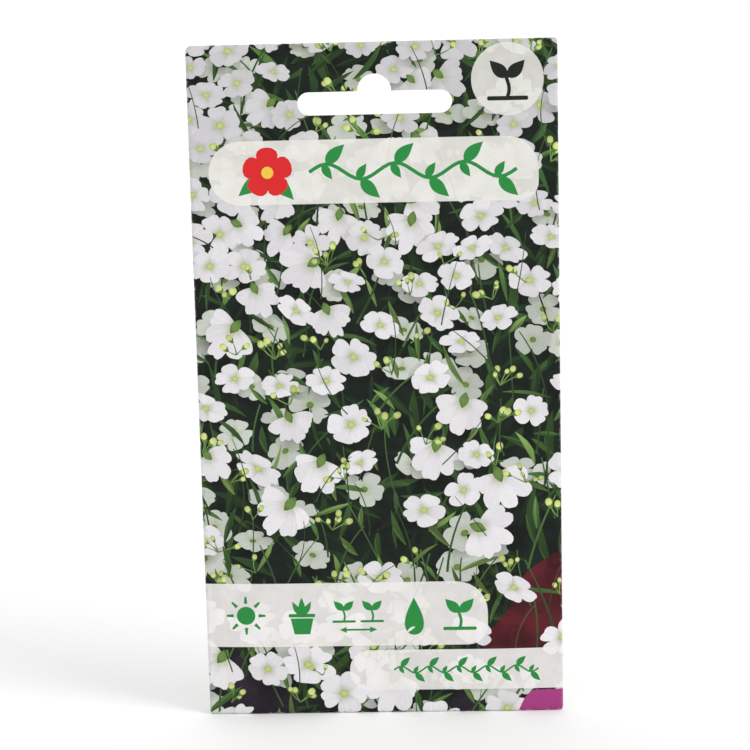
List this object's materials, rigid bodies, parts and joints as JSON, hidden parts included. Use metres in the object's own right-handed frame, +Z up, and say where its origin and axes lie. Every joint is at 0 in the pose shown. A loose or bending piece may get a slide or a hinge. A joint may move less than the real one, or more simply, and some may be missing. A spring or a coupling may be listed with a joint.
{
  "type": "seed packet",
  "caption": "Flat folded paper seed packet with a hanging slot, upright on its bottom fold, holding a small sealed sachet of seeds.",
  "frame": {"origin": "under the middle of the packet, on the surface that it stands on", "axes": "+Z up the packet, front facing -Y, +X to the right seen from the front"},
  "size_m": [0.08, 0.005, 0.15],
  "materials": {
    "printed_paper": "satin",
    "glue": "gloss",
    "foil": "satin",
    "seed": "matte"
  },
  "bodies": {
    "root": {"front_panel": "printed_paper", "back_panel_left": "printed_paper", "back_panel_right": "printed_paper", "top_flap": "printed_paper", "bottom_flap": "printed_paper", "seam_glue": "glue", "bottom_glue": "glue", "top_glue": "glue", "sachet_front": "foil", "sachet_back": "foil", "seeds": "seed"}
  },
  "joints": []
}
